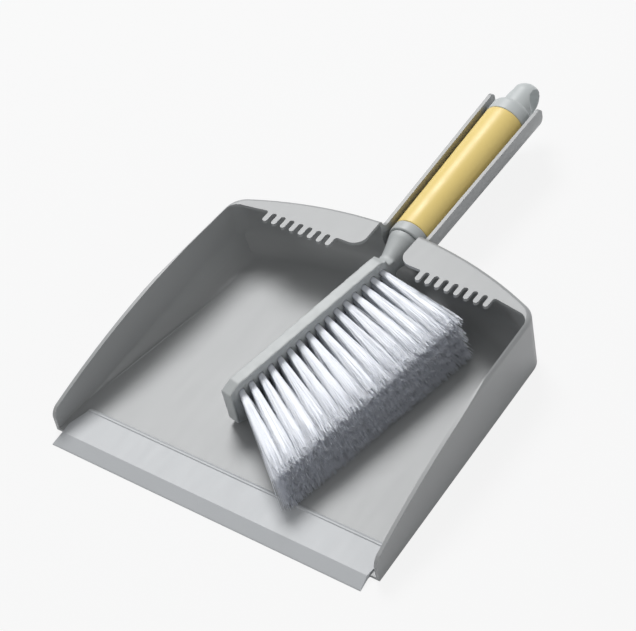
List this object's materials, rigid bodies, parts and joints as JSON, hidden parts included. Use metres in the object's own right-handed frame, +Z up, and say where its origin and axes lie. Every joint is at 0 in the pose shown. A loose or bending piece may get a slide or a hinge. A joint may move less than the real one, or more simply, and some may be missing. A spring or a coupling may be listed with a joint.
{
  "type": "dust pan and brush set",
  "caption": "Hooded dust pan with comb teeth and an open channel handle, holding a long-bristled hand brush with a round grip and a hanging ring.",
  "frame": {"origin": "under the middle of the set's bounding box, on the surface it rests on", "axes": "+Z up, +Y from the pan's lip towards the hanging ring, +X to the side the bristles point to"},
  "size_m": [0.262, 0.4116, 0.0497],
  "materials": {
    "pan_plastic": "satin light grey polypropylene",
    "lip_elastomer": "matte light grey soft elastomer",
    "brush_plastic": "satin pale grey polypropylene",
    "grip_plastic": "smooth pale yellow polypropylene",
    "cap_plastic": "satin grey polypropylene",
    "bristle": "translucent white crimped filament",
    "anchor_steel": "drawn wire"
  },
  "bodies": {
    "pan": {"pan_tray": "pan_plastic", "lip_strip": "lip_elastomer"},
    "brush": {"brush_body": "brush_plastic", "collar": "brush_plastic", "grip_sleeve": "grip_plastic", "end_cap": "cap_plastic", "tuft_row_1": "bristle", "tuft_row_2": "bristle", "tuft_row_3": "bristle", "tuft_row_4": "bristle", "tuft_anchors": "anchor_steel"}
  },
  "joints": [
    {"name": "brush_lift", "type": "slide", "parent": "pan", "child": "brush", "axis": [0, 0, 1], "range_m": [0, 0.1]}
  ]
}
